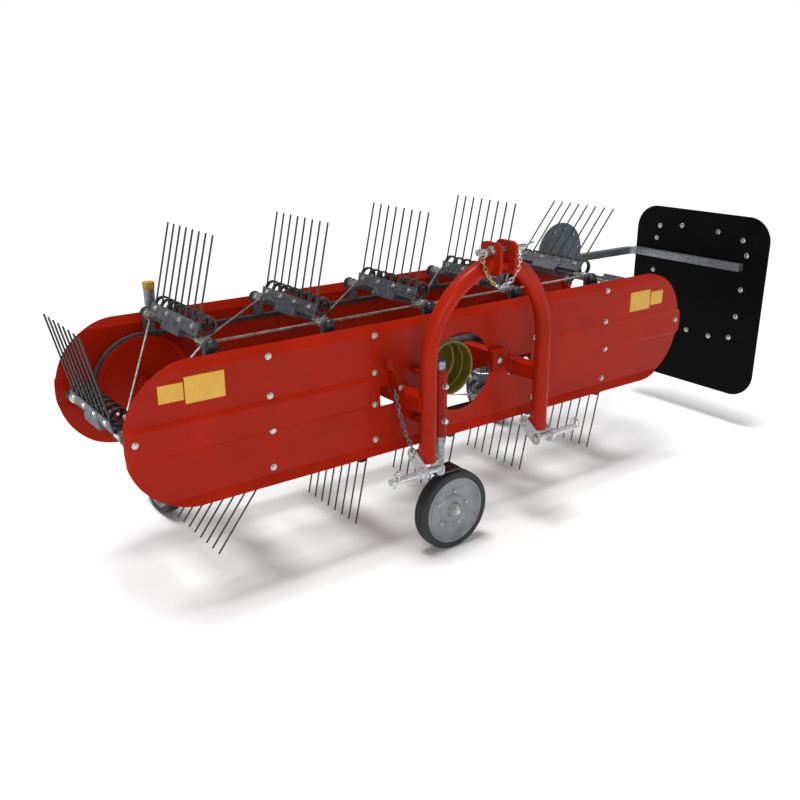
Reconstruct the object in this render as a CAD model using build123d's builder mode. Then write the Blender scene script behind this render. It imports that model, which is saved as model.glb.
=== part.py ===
from build123d import *
import math
import os

# Belt hay rake for a three-point hitch, in millimetres.
# The origin is midway between the two lower link pins, on their common axis.
# +X is to the right for someone looking rearwards from the tractor, +Y is rearwards, +Z is up.

os.makedirs("parts", exist_ok=True)

# Side panels: two pressed steel sheets with rounded ends
panel_length = 2400
panel_height = 442
panel_spacing = 600
panel_corner_drop = 6
sheet = 3
flange_height = 30
top_lean = 12
bottom_flare = 14
rib_depth = 11
rib_base_half = 54
rib_crest_half = 40
rib_start = 390
hitch_to_panel = 165
axis_height = 250

# Power take-off opening, guard cup, shaft and gearbox
pto_hole_radius = 140
guard_radius = 97
guard_wall = 3
guard_setback = 45
pto_shaft_radius = 17.5
pto_shaft_length = 110
gearbox_width = 150
gearbox_length = 150
gearbox_corner = 12
drive_tube_radius = 20
end_box_side = 110

# Inner frame of square tubes, and the stiffeners behind the bolt rows
inner_tube_x = 360.5
outer_tube_inset = 456.7
tube_side = 50
stiffener_width = 40
stiffener_height = 380
stiffener_thickness = 4
seat_gap = 0.3

# Belt drive
belt_inset = 70
belt_width = 22
belt_depth = 14
belt_radius = 172
pulley_inset = 270
pulley_rim = 8
pulley_flange = 4
pulley_lip = 7
pulley_web = 6
hub_radius = 30
axle_radius = 15
bearing_radius = 55
bearing_thickness = 8

# Combs
comb_count = 12
comb_phase = 35
bar_rise = 60
bar_radius = 10
bar_overhang = 13
carrier_width = 36
carrier_thickness = 18
plate_height = 42
plate_length = 345
plate_thickness = 5
plate_offset = 14.5
plate_rise = 30
plate_front_inset = 120
saddle_length = 130
saddle_foot = 56
saddle_thickness = 4

# Tines: four double spring tines on each comb
tine_pairs = 4
tine_pitch = 46
wire_radius = 3
wire_inset = 0.5
coil_radius = 29
coil_width = 14
coil_rise = 46
tine_tip_rise = 308
rod_radius = 4
slant_sleeve = 22
eye_wall = 6
eye_width = 10
eye_clearance = 3

# Headstock: a bent tube arch with two ears for the top link
leg_spread = 253
leg_radius = 28
leg_y = 22
leg_foot = 25
arch_start = 357
arch_radius = 311
arch_forward = 35
ear_gap = 52
ear_thickness = 12
ear_width = 93
ear_height = 104
ear_corner = 22
ear_behind_pin = 8.5
ear_above_pin = 26
top_pin_y = -20
top_pin_z = 700
top_pin_radius = 9.5
top_pin_end = 64
link_end_radius = 42
pin_clearance = 0.25

# Lower link brackets: two straps with a category 1 pin on each side
link_pin_radius = 11
link_pin_tip = 420
link_collar_radius = 19
link_collar_length = 18
strap_width = 50
strap_thickness = 6
strap_gap = 1
strap_pivot_y = 60
strap_pivot_z = 42
strap_bolt_radius = 8
strap_sleeve_radius = 15

# Arms that join the headstock to the inner frame
arm_x = 265
arm_z = 226
slot_outer = 340
slot_clearance = 8

# Support wheels on casters
ride_height = 335.5
wheel_diameter = 285
wheel_width = 56
rim_radius = 118
rim_wall = 4
rim_inset = 4
wheel_hub_radius = 24
wheel_axle_radius = 8
axle_clearance = 0.05
caster_trail = 58
caster_plate = 8
caster_width = 44
wheel_gap = 5.5
swivel_radius = 12
post_radius = 19
post_foot = -30
front_post_x = -184
front_post_y = 50
front_post_top = 352
sleeve_edge = 30
rear_post_inset = 375
rear_post_offset = 90
rear_left_post_top = 551
rear_right_post_top = 455
clamp_height = 60
clamp_wall = 6
clamp_width = 60
clamp_edge = 10
swivel_depth = 90
swivel_top_gap = 5

# Swath board on a square arm that folds up about a round index plate
board_x = 1691
board_thickness = 8
board_front = 85
board_rear = 805
board_bottom = -188
board_top = 637
board_corner = 110
board_arm_side = 32
board_arm_z = 412
board_arm_stub = 66
board_arm_bend = 60
board_arm_front = 200
index_x = 1118
index_z = 456
index_radius = 138
index_thickness = 6
index_setback = 15
index_bracket_width = 90
index_bracket_low = 325
index_bracket_high = 400
fold_hub_radius = 80
fold_bolt_radius = 10
fold_nut_radius = 17
fold_gap = 0.5

# Values that follow from the sizes above
panel_corner = panel_height / 2 - panel_corner_drop
panel_top = axis_height + panel_height / 2
panel_bottom = axis_height - panel_height / 2
front_face = hitch_to_panel
front_inner = front_face + sheet
rear_face = hitch_to_panel + panel_spacing
rear_inner = rear_face - sheet
front_belt_y = front_face + belt_inset
rear_belt_y = rear_face - belt_inset
beam_z = arm_z - tube_side
drive_y = (front_belt_y + rear_belt_y) / 2
gearbox_front = drive_y - gearbox_length / 2
beam_y = gearbox_front + tube_side / 2
gearbox_height = 2 * (axis_height - arm_z + tube_side / 2)
pulley_x = panel_length / 2 - pulley_inset
outer_tube_x = panel_length / 2 - outer_tube_inset
cross_tube_xs = (-outer_tube_x, -inner_tube_x, inner_tube_x, outer_tube_x)
rear_post_x = panel_length / 2 - rear_post_inset
bar_radius_from_axle = belt_radius + bar_rise
loop_length = 4 * pulley_x + 2 * math.pi * belt_radius
comb_pitch = loop_length / comb_count
wheel_radius = wheel_diameter / 2
wheel_z = wheel_radius - ride_height
rear_post_y = rear_face + rear_post_offset
sleeve_radius = post_radius + seat_gap + clamp_wall


def save(part, name):
    part.label = name
    export_step(part, f"parts/{name}.step")


# Side panels
def panel_section(face_y, rib, flare):
    """Cross-section points of one folded sheet, as (y, z), with face_y on its front side."""
    low, high = panel_bottom, panel_top
    front = [
        (face_y + flare, low),
        (face_y, low + flange_height),
        (face_y, axis_height - rib_base_half),
        (face_y + rib, axis_height - rib_crest_half),
        (face_y + rib, axis_height + rib_crest_half),
        (face_y, axis_height + rib_base_half),
        (face_y, high - flange_height),
        (face_y + top_lean, high),
    ]
    back = [(y + sheet, z) for y, z in reversed(front)]
    return front + back


def add_panel(face_y, rib, flare):
    """Fold the sheet, leave it flat in the middle and trim it to the rounded outline."""
    ribbed_length = panel_length / 2 - rib_start
    for start, length, depth in (
        (-panel_length / 2, ribbed_length, rib),
        (-rib_start, 2 * rib_start, 0),
        (rib_start, ribbed_length, rib),
    ):
        points = panel_section(face_y, depth, flare)
        if depth == 0:
            points = [p for p in points if abs(p[1] - axis_height) > rib_base_half]
        with BuildSketch(Plane.YZ.offset(start)) as profile:
            Polygon(*points, align=None)
        extrude(profile.sketch, amount=length)
    for start in (-rib_start - sheet, rib_start):
        with BuildSketch(Plane.YZ.offset(start)) as profile:
            Polygon(
                (face_y, axis_height - rib_base_half),
                (face_y + rib, axis_height - rib_crest_half),
                (face_y + rib, axis_height + rib_crest_half),
                (face_y, axis_height + rib_base_half),
                align=None,
            )
            with Locations((face_y + sheet / 2, axis_height)):
                Rectangle(sheet, 2 * rib_base_half)
        extrude(profile.sketch, amount=sheet)
    with BuildSketch(Plane.XZ.offset(-face_y)) as profile:
        with Locations((0, axis_height)):
            RectangleRounded(panel_length, panel_height, panel_corner)
    extrude(profile.sketch, amount=2 * flange_height, both=True, mode=Mode.INTERSECT)


with BuildPart() as front_panel:
    add_panel(front_face, -rib_depth, -bottom_flare)
    with BuildSketch(Plane.XZ.offset(-front_face)):
        with Locations((0, axis_height)):
            Circle(pto_hole_radius)
        slot_inner = arm_x - tube_side / 2 - slot_clearance
        for side in (-1, 1):
            with Locations((side * (slot_inner + slot_outer) / 2, arm_z)):
                Rectangle(slot_outer - slot_inner, tube_side + 2 * slot_clearance)
    extrude(amount=3 * sheet, both=True, mode=Mode.SUBTRACT)
save(front_panel.part, "front_panel")

with BuildPart() as rear_panel:
    add_panel(rear_inner, rib_depth, bottom_flare)
save(rear_panel.part, "rear_panel")

# Inner frame: stiffeners bolted behind the panels, cross tubes and one long beam
with BuildPart() as inner_frame:
    stiffener_front = front_inner + seat_gap
    stiffener_rear = rear_inner - seat_gap
    for tube_x in cross_tube_xs:
        with BuildSketch(Plane.XZ.offset(-stiffener_front)):
            with Locations((tube_x, axis_height)):
                Rectangle(stiffener_width, stiffener_height)
        extrude(amount=-stiffener_thickness)
        with BuildSketch(Plane.XZ.offset(-stiffener_rear)):
            with Locations((tube_x, axis_height)):
                Rectangle(stiffener_width, stiffener_height)
        extrude(amount=stiffener_thickness)
        with BuildSketch(Plane.XZ.offset(-stiffener_front)):
            with Locations((tube_x, beam_z)):
                Rectangle(tube_side, tube_side)
        extrude(amount=stiffener_front - stiffener_rear)
    beam_end = cross_tube_xs[-1] + tube_side / 2
    with BuildSketch(Plane.YZ.offset(-beam_end)):
        with Locations((beam_y, beam_z)):
            Rectangle(tube_side, tube_side)
    extrude(amount=2 * beam_end)
save(inner_frame.part, "inner_frame")

# Gearbox, drive tube, shaft and guard cup
with BuildPart() as gearbox:
    gearbox_base = axis_height - gearbox_height / 2
    with BuildSketch(Plane.XY.offset(gearbox_base)):
        with Locations((0, drive_y)):
            Rectangle(gearbox_width, gearbox_length)
    extrude(amount=gearbox_height)
    fillet(gearbox.edges().filter_by(Axis.Z), radius=gearbox_corner)
    with BuildSketch(Plane.YZ.offset(gearbox_width / 2)):
        with Locations((drive_y, axis_height)):
            Circle(drive_tube_radius)
    extrude(amount=pulley_x - end_box_side / 2 - gearbox_width / 2)
save(gearbox.part, "gearbox")

with BuildPart() as pto_shaft:
    with BuildSketch(Plane.XZ.offset(-gearbox_front)):
        with Locations((0, axis_height)):
            Circle(pto_shaft_radius)
    extrude(amount=pto_shaft_length)
    chamfer(pto_shaft.faces().sort_by(Axis.Y)[0].edges(), length=2.5)
save(pto_shaft.part, "pto_shaft")

with BuildPart() as pto_guard:
    guard_depth = gearbox_front - front_face - guard_setback
    with BuildSketch(Plane.XZ.offset(-gearbox_front)):
        with Locations((0, axis_height)):
            Circle(guard_radius)
            Circle(guard_radius - guard_wall, mode=Mode.SUBTRACT)
    extrude(amount=guard_depth)
    with BuildSketch(Plane.XZ.offset(-gearbox_front)):
        with Locations((0, axis_height)):
            Circle(guard_radius)
            Circle(pto_shaft_radius + guard_wall, mode=Mode.SUBTRACT)
    extrude(amount=guard_wall)
save(pto_guard.part, "pto_guard")


# Belts: one fixed loop on each side
def add_belt(belt_y):
    with BuildSketch(Plane.XZ.offset(-belt_y)) as profile:
        with Locations((0, axis_height)):
            SlotCenterToCenter(2 * pulley_x, 2 * belt_radius)
            SlotCenterToCenter(2 * pulley_x, 2 * (belt_radius - belt_depth), mode=Mode.SUBTRACT)
    extrude(profile.sketch, amount=belt_width / 2, both=True)


with BuildPart() as front_belt:
    add_belt(front_belt_y)
save(front_belt.part, "front_belt")

with BuildPart() as rear_belt:
    add_belt(rear_belt_y)
save(rear_belt.part, "rear_belt")


# Pulley axles: a shaft between two bearings with a grooved pulley for each belt
def add_disc(centre_x, middle_y, width, outer, inner=0):
    with BuildSketch(Plane.XZ.offset(-middle_y)) as profile:
        with Locations((centre_x, axis_height)):
            Circle(outer)
            if inner > 0:
                Circle(inner, mode=Mode.SUBTRACT)
    extrude(profile.sketch, amount=width / 2, both=True)


def add_axle(centre_x):
    rim_outer = belt_radius - belt_depth - seat_gap
    rim_inner = rim_outer - pulley_rim
    groove = belt_width / 2 + seat_gap
    first = front_inner + seat_gap
    last = rear_inner - seat_gap
    add_disc(centre_x, (first + last) / 2, last - first, axle_radius)
    for end_y in (first + bearing_thickness / 2, last - bearing_thickness / 2):
        add_disc(centre_x, end_y, bearing_thickness, bearing_radius)
    for belt_y in (front_belt_y, rear_belt_y):
        rim_width = 2 * (groove + pulley_flange)
        add_disc(centre_x, belt_y, rim_width, rim_outer, rim_inner)
        add_disc(centre_x, belt_y, pulley_web, rim_outer)
        add_disc(centre_x, belt_y, rim_width, hub_radius)
        for side in (-1, 1):
            lip_y = belt_y + side * (groove + pulley_flange / 2)
            add_disc(centre_x, lip_y, pulley_flange, rim_outer + pulley_lip, rim_inner)


with BuildPart() as left_axle:
    add_axle(-pulley_x)
save(left_axle.part, "left_axle")

with BuildPart() as right_axle:
    add_axle(pulley_x)
    with BuildSketch(Plane.XZ.offset(-drive_y)):
        with Locations((pulley_x, axis_height)):
            Rectangle(end_box_side, end_box_side)
    extrude(amount=end_box_side / 2, both=True)
save(right_axle.part, "right_axle")


# Combs around the loop. The route starts on the top run above the left axle.
def loop_place(distance, radius):
    """Point (x, z) at a distance along the belt, moved out to a radius from the axles' loop."""
    straight = 2 * pulley_x
    arc = math.pi * belt_radius
    distance = distance % loop_length
    if distance < straight:
        return -pulley_x + distance, axis_height + radius
    distance -= straight
    if distance < arc:
        turn = distance / belt_radius
        return pulley_x + radius * math.sin(turn), axis_height + radius * math.cos(turn)
    distance -= arc
    if distance < straight:
        return pulley_x - distance, axis_height - radius
    turn = (distance - straight) / belt_radius
    return -pulley_x - radius * math.sin(turn), axis_height - radius * math.cos(turn)


def loop_angle(distance):
    """Outward direction at a distance along the belt, in degrees clockwise from up."""
    inner_x, inner_z = loop_place(distance, belt_radius)
    outer_x, outer_z = loop_place(distance, belt_radius + 1)
    return math.degrees(math.atan2(outer_x - inner_x, outer_z - inner_z))


# Combs in the order of travel from the top left. Columns: lean in degrees clockwise from up,
# shift along the belt from an even spacing
comb_table = (
    (14, 0), (12, 0), (12, 0), (12, 0), (40, 0), (125, 0),
    (192, 0), (192, 0), (192, 0), (192, 0), (218, 0), (347, 95),
)


def comb_distance(index):
    index = index % comb_count
    return comb_phase + index * comb_pitch + comb_table[index][1]


def comb_plane(centre_x, centre_z, lean, y):
    """A plane across the machine: local x is to the comb's right, local y along its tines."""
    up = math.radians(lean)
    return Plane(
        origin=(centre_x, y, centre_z),
        x_dir=(math.cos(up), 0, -math.sin(up)),
        z_dir=(0, -1, 0),
    )


plate_front = front_face + plate_front_inset
plate_rear = plate_front + plate_length
plate_middle = (plate_front + plate_rear) / 2
wire_first = plate_middle - tine_pitch * (2 * tine_pairs - 1) / 2
plate_side = -plate_offset - plate_thickness / 2
tine_side = plate_side + plate_thickness / 2 + seat_gap + coil_radius


def add_comb(index):
    distance = comb_distance(index)
    lean = comb_table[index][0]
    bar_x, bar_z = loop_place(distance, bar_radius_from_axle)
    bar_start = front_belt_y - bar_overhang
    bar_length = rear_belt_y - front_belt_y + 2 * bar_overhang
    with BuildSketch(comb_plane(bar_x, bar_z, lean, bar_start)) as profile:
        Circle(bar_radius)
    extrude(profile.sketch, amount=-bar_length)
    clamp_height_here = bar_rise - seat_gap
    for belt_y in (front_belt_y, rear_belt_y):
        with BuildSketch(comb_plane(bar_x, bar_z, loop_angle(distance), belt_y)) as profile:
            with Locations((0, -clamp_height_here / 2)):
                Rectangle(carrier_width, clamp_height_here)
            Circle(carrier_width / 2)
        extrude(profile.sketch, amount=carrier_thickness / 2, both=True)
    with BuildSketch(comb_plane(bar_x, bar_z, lean, plate_middle)) as profile:
        half = saddle_thickness / 2
        Polygon(
            (-saddle_foot / 2, -bar_radius - half),
            (saddle_foot / 2, -bar_radius - half),
            (saddle_foot / 2, -bar_radius + half),
            (plate_side + plate_thickness / 2, plate_rise),
            (plate_side - plate_thickness / 2, plate_rise),
            (-saddle_foot / 2, -bar_radius + half),
            align=None,
        )
    extrude(profile.sketch, amount=saddle_length / 2, both=True)
    with BuildSketch(comb_plane(bar_x, bar_z, lean, plate_front)) as profile:
        with Locations((plate_side, plate_rise)):
            Rectangle(plate_thickness, plate_height)
    extrude(profile.sketch, amount=-plate_length)


def add_tines(index):
    lean = comb_table[index][0]
    bar_x, bar_z = loop_place(comb_distance(index), bar_radius_from_axle)
    for pair in range(tine_pairs):
        first_y = wire_first + 2 * pair * tine_pitch
        for wire_y in (first_y, first_y + tine_pitch):
            across = comb_plane(bar_x, bar_z, lean, wire_y)
            with BuildSketch(across) as profile:
                with Locations((tine_side, coil_rise)):
                    Circle(coil_radius)
                    Circle(coil_radius - 2 * wire_radius, mode=Mode.SUBTRACT)
            extrude(profile.sketch, amount=coil_width / 2, both=True)
            foot_side = tine_side - coil_radius + wire_radius + wire_inset
            foot = across.from_local_coords((foot_side, coil_rise, 0))
            with BuildSketch(Plane(origin=foot, x_dir=(0, 1, 0), z_dir=across.y_dir)) as profile:
                Circle(wire_radius)
            extrude(profile.sketch, amount=tine_tip_rise - coil_rise)
        bridge = comb_plane(bar_x, bar_z, lean, first_y)
        with BuildSketch(bridge) as profile:
            with Locations((tine_side, coil_rise - coil_radius + wire_radius + wire_inset)):
                Circle(wire_radius)
        extrude(profile.sketch, amount=-tine_pitch)


for index in range(comb_count):
    with BuildPart() as comb:
        add_comb(index)
    save(comb.part, f"comb_{index + 1:02d}")
    with BuildPart() as tines:
        add_tines(index)
    save(tines.part, f"tines_{index + 1:02d}")


# Rods from comb to comb, with an eye round the bar at each end: one near the front belt,
# one slanting to the rear belt
def bar_place(index):
    return loop_place(comb_distance(index), bar_radius_from_axle)


def add_rod(index, start_y, end_y, sleeve_reach):
    start_x, start_z = bar_place(index)
    end_x, end_z = bar_place(index + 1)
    start = Vector(start_x, start_y, start_z)
    run = Vector(end_x, end_y, end_z) - start
    with BuildSketch(Plane(origin=start, z_dir=run.normalized())) as profile:
        Circle(rod_radius)
    extrude(profile.sketch, amount=run.length)
    sleeves = (
        (start_x, start_z, start_y - eye_width / 2, start_y + sleeve_reach),
        (end_x, end_z, end_y - sleeve_reach, end_y + eye_width / 2),
    )
    for eye_x, eye_z, low, high in sleeves:
        with BuildSketch(Plane.XZ.offset(-low)) as profile:
            with Locations((eye_x, eye_z)):
                Circle(bar_radius + eye_wall)
        extrude(profile.sketch, amount=low - high)
    for eye_x, eye_z, low, high in sleeves:
        with BuildSketch(Plane.XZ.offset(-low + eye_width)) as profile:
            with Locations((eye_x, eye_z)):
                Circle(bar_radius + seat_gap)
        extrude(profile.sketch, amount=low - high - 2 * eye_width, mode=Mode.SUBTRACT)


pulley_half = belt_width / 2 + seat_gap + pulley_flange
first_eye_y = front_belt_y + pulley_half + eye_clearance + eye_width / 2
eye_step = eye_width + seat_gap
last_eye_y = rear_belt_y - pulley_half - eye_clearance - eye_width / 2
for name, start_y, end_y, sleeve_reach in (
    ("front_rods", first_eye_y, first_eye_y + eye_step, eye_width / 2),
    ("slanting_rods", first_eye_y + 2 * eye_step, last_eye_y, slant_sleeve),
):
    with BuildPart() as rods:
        for index in range(comb_count):
            with BuildPart(mode=Mode.PRIVATE) as rod:
                add_rod(index, start_y, end_y, sleeve_reach)
            add(rod.part)
    save(rods.part, name)

# Headstock: arch legs, ears for the top link, sleeves for the straps and arms to the frame
arch_run = math.hypot(leg_spread, arch_forward)
arch_turn = math.acos(1 - arch_run / arch_radius)


def arch_point(side, turn):
    """Point on a leg's centre line after a turn from upright, in radians."""
    share = arch_radius * (1 - math.cos(turn)) / arch_run
    return (
        side * (1 - share) * leg_spread,
        leg_y - share * arch_forward,
        arch_start + arch_radius * math.sin(turn),
    )


ear_y = top_pin_y + ear_behind_pin
ear_z = top_pin_z + ear_above_pin - ear_height / 2
gap_floor = top_pin_z - link_end_radius
with BuildPart() as headstock:
    for side in (-1, 1):
        with BuildLine() as leg_path:
            Line((side * leg_spread, leg_y, leg_foot), arch_point(side, 0))
            ThreePointArc(
                arch_point(side, 0), arch_point(side, arch_turn / 2), arch_point(side, arch_turn)
            )
        with BuildSketch(Plane.XY.offset(leg_foot)):
            with Locations((side * leg_spread, leg_y)):
                Circle(leg_radius)
        sweep(path=leg_path.wires()[0])
        with BuildSketch(Plane.YZ.offset(side * (leg_spread + leg_radius))):
            with Locations((strap_pivot_y, strap_pivot_z)):
                Circle(strap_sleeve_radius)
        extrude(amount=-side * 2 * leg_radius)
        with BuildSketch(Plane.YZ.offset(side * (leg_spread + leg_radius / 2))):
            with Locations(((leg_y + strap_pivot_y) / 2, strap_pivot_z)):
                Rectangle(strap_pivot_y - leg_y, 2 * strap_sleeve_radius)
        extrude(amount=-side * leg_radius)
        with BuildSketch(Plane.XZ.offset(-leg_y)):
            with Locations((side * arm_x, arm_z)):
                Rectangle(tube_side, tube_side)
        extrude(amount=leg_y - beam_y - tube_side / 2)
    with BuildSketch(Plane.YZ):
        with Locations((ear_y, gap_floor + ear_height / 2)):
            Rectangle(2 * ear_width, ear_height)
    extrude(amount=ear_gap / 2, both=True, mode=Mode.SUBTRACT)
    for side in (-1, 1):
        with BuildSketch(Plane.YZ.offset(side * ear_gap / 2)):
            with Locations((ear_y, ear_z)):
                RectangleRounded(ear_width, ear_height, ear_corner)
        extrude(amount=side * ear_thickness)
    with BuildSketch(Plane.YZ):
        with Locations((top_pin_y, top_pin_z)):
            Circle(top_pin_radius + pin_clearance)
    extrude(amount=ear_gap, both=True, mode=Mode.SUBTRACT)
    with BuildSketch(Plane.YZ):
        with Locations((strap_pivot_y, strap_pivot_z)):
            Circle(strap_bolt_radius + axle_clearance)
    extrude(amount=leg_spread + 2 * leg_radius, both=True, mode=Mode.SUBTRACT)
save(headstock.part, "headstock")

with BuildPart() as top_link_pin:
    pin_reach = ear_gap / 2 + ear_thickness + top_pin_end
    with BuildSketch(Plane.YZ.offset(-pin_reach)):
        with Locations((top_pin_y, top_pin_z)):
            Circle(top_pin_radius)
    extrude(amount=2 * pin_reach)
    chamfer(top_link_pin.faces().filter_by(Axis.X).edges(), length=2)
save(top_link_pin.part, "top_link_pin")


# Lower link brackets: straps, pivot bolt, collar and pin
def add_link_bracket(side):
    inner_face = leg_spread - leg_radius - strap_gap - strap_thickness
    outer_face = leg_spread + leg_radius + strap_gap
    reach = math.hypot(strap_pivot_y, strap_pivot_z)
    slope = math.degrees(math.atan2(strap_pivot_z, strap_pivot_y))
    for face in (inner_face, outer_face):
        with BuildSketch(Plane.YZ.offset(side * face)) as profile:
            with Locations((strap_pivot_y / 2, strap_pivot_z / 2)):
                SlotCenterToCenter(reach, strap_width, rotation=slope)
        extrude(profile.sketch, amount=side * strap_thickness)
    with BuildSketch(Plane.YZ.offset(side * inner_face)) as profile:
        with Locations((strap_pivot_y, strap_pivot_z)):
            Circle(strap_bolt_radius)
    extrude(profile.sketch, amount=side * (outer_face - inner_face))
    with BuildSketch(Plane.YZ.offset(side * inner_face)) as profile:
        Circle(link_pin_radius)
    extrude(profile.sketch, amount=side * (link_pin_tip - inner_face))
    with BuildSketch(Plane.YZ.offset(side * (outer_face + strap_thickness))) as profile:
        Circle(link_collar_radius)
    extrude(profile.sketch, amount=side * link_collar_length)


with BuildPart() as left_link_bracket:
    add_link_bracket(-1)
save(left_link_bracket.part, "left_link_bracket")

with BuildPart() as right_link_bracket:
    add_link_bracket(1)
save(right_link_bracket.part, "right_link_bracket")


# Caster posts: tubes that carry the swivel pins
def add_post(post_x, post_y, top):
    with BuildSketch(Plane.XY.offset(post_foot)) as profile:
        with Locations((post_x, post_y)):
            Circle(post_radius)
    extrude(profile.sketch, amount=top - post_foot)
    with BuildSketch(Plane.XY.offset(post_foot)) as profile:
        with Locations((post_x, post_y)):
            Circle(swivel_radius + axle_clearance)
    extrude(profile.sketch, amount=swivel_depth, mode=Mode.SUBTRACT)


with BuildPart() as front_post:
    add_post(front_post_x, front_post_y, front_post_top)
save(front_post.part, "front_post")

# Sleeve that holds the front post, on two plates from the panel
with BuildPart() as front_post_sleeve:
    sleeve_bottom = strap_pivot_z + strap_width
    sleeve_top = front_post_top - sleeve_edge
    with BuildSketch(Plane.XY.offset(sleeve_bottom)):
        with Locations((front_post_x, front_post_y)):
            Circle(sleeve_radius)
    extrude(amount=sleeve_top - sleeve_bottom)
    for plate_z in (sleeve_bottom + sleeve_edge, sleeve_top - sleeve_edge):
        with BuildSketch(Plane.XY.offset(plate_z)):
            with Locations((front_post_x, (front_post_y + front_face - seat_gap) / 2)):
                Rectangle(clamp_width, front_face - seat_gap - front_post_y)
        extrude(amount=clamp_wall)
    with BuildSketch(Plane.XY.offset(sleeve_bottom)):
        with Locations((front_post_x, front_post_y)):
            Circle(post_radius + seat_gap)
    extrude(amount=sleeve_top - sleeve_bottom, mode=Mode.SUBTRACT)
save(front_post_sleeve.part, "front_post_sleeve")


def add_rear_clamp(post_x):
    """Two blocks bored for the post, joined by a plate that stands clear of the panel's rib."""
    seat_y = rear_face + seat_gap
    reach = rear_post_y + sleeve_radius - seat_y
    low_block = panel_bottom + 2 * flange_height
    high_block = axis_height + rib_base_half + clamp_edge
    for block_z in (low_block, high_block):
        with BuildSketch(Plane.XY.offset(block_z)) as profile:
            with Locations((post_x, seat_y + reach / 2)):
                Rectangle(clamp_width, reach)
            with Locations((post_x, rear_post_y)):
                Circle(post_radius + seat_gap, mode=Mode.SUBTRACT)
        extrude(profile.sketch, amount=clamp_height)
    with BuildSketch(Plane.XY.offset(low_block)) as profile:
        with Locations((post_x, rear_face + rib_depth + clamp_wall)):
            Rectangle(clamp_width, clamp_wall)
    extrude(profile.sketch, amount=high_block + clamp_height - low_block)


for name, side, top in (
    ("rear_left", -1, rear_left_post_top),
    ("rear_right", 1, rear_right_post_top),
):
    with BuildPart() as post:
        add_post(side * rear_post_x, rear_post_y, top)
    save(post.part, f"{name}_post")
    with BuildPart() as clamp:
        add_rear_clamp(side * rear_post_x)
    save(clamp.part, f"{name}_clamp")


# Casters: swivel pin, top plate, one side plate and the stub axle
# Columns: name, post x, post y, trail direction as (x, y)
casters = (
    ("front", front_post_x, front_post_y, (1, 0)),
    ("rear_left", -rear_post_x, rear_post_y, (0, 1)),
    ("rear_right", rear_post_x, rear_post_y, (0, 1)),
)


def caster_frame(post_x, post_y, trail):
    """Upright plane through the swivel axis: local x along the trail, local y up."""
    return Plane(origin=(post_x, post_y, 0), x_dir=(*trail, 0), z_dir=(trail[1], -trail[0], 0))


def add_fork(frame):
    top_low = wheel_z + wheel_radius + wheel_gap
    side_near = wheel_width / 2 + wheel_gap
    with BuildSketch(frame) as profile:
        with Locations((caster_trail / 2, top_low + caster_plate / 2)):
            Rectangle(caster_trail + caster_width, caster_plate)
    extrude(profile.sketch, amount=-side_near - caster_plate)
    with BuildSketch(frame) as profile:
        with Locations((caster_trail / 2, top_low + caster_plate / 2)):
            Rectangle(caster_trail + caster_width, caster_plate)
    extrude(profile.sketch, amount=caster_width / 2)
    with BuildSketch(frame.offset(-side_near)) as profile:
        with Locations((caster_trail, (top_low + wheel_z) / 2)):
            Rectangle(caster_width, top_low - wheel_z)
        with Locations((caster_trail, wheel_z)):
            Circle(caster_width / 2)
    extrude(profile.sketch, amount=-caster_plate)
    with BuildSketch(frame.offset(wheel_width / 2)) as profile:
        with Locations((caster_trail, wheel_z)):
            Circle(wheel_axle_radius)
    extrude(profile.sketch, amount=-wheel_width / 2 - side_near)
    with BuildSketch(Plane.XY.offset(top_low + caster_plate)) as profile:
        with Locations((frame.origin.X, frame.origin.Y)):
            Circle(swivel_radius)
    extrude(profile.sketch, amount=post_foot + swivel_depth - swivel_top_gap - top_low - caster_plate)


def add_tyre(frame):
    with BuildSketch(frame) as profile:
        with Locations((caster_trail, wheel_z)):
            Circle(wheel_radius)
            Circle(rim_radius + seat_gap, mode=Mode.SUBTRACT)
    extrude(profile.sketch, amount=wheel_width / 2, both=True)


def add_rim(frame):
    with BuildSketch(frame) as profile:
        with Locations((caster_trail, wheel_z)):
            Circle(rim_radius)
            Circle(rim_radius - rim_wall, mode=Mode.SUBTRACT)
    extrude(profile.sketch, amount=wheel_width / 2 - rim_inset, both=True)
    with BuildSketch(frame) as profile:
        with Locations((caster_trail, wheel_z)):
            Circle(rim_radius)
    extrude(profile.sketch, amount=rim_wall, both=True)
    with BuildSketch(frame) as profile:
        with Locations((caster_trail, wheel_z)):
            Circle(wheel_hub_radius)
    extrude(profile.sketch, amount=wheel_width / 2, both=True)
    with BuildSketch(frame) as profile:
        with Locations((caster_trail, wheel_z)):
            Circle(wheel_axle_radius + axle_clearance)
    extrude(profile.sketch, amount=wheel_width, both=True, mode=Mode.SUBTRACT)


for name, post_x, post_y, trail in casters:
    frame = caster_frame(post_x, post_y, trail)
    with BuildPart() as fork:
        add_fork(frame)
    save(fork.part, f"{name}_fork")
    with BuildPart() as tyre:
        add_tyre(frame)
    save(tyre.part, f"{name}_tyre")
    with BuildPart() as rim:
        add_rim(frame)
    save(rim.part, f"{name}_rim")

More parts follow.
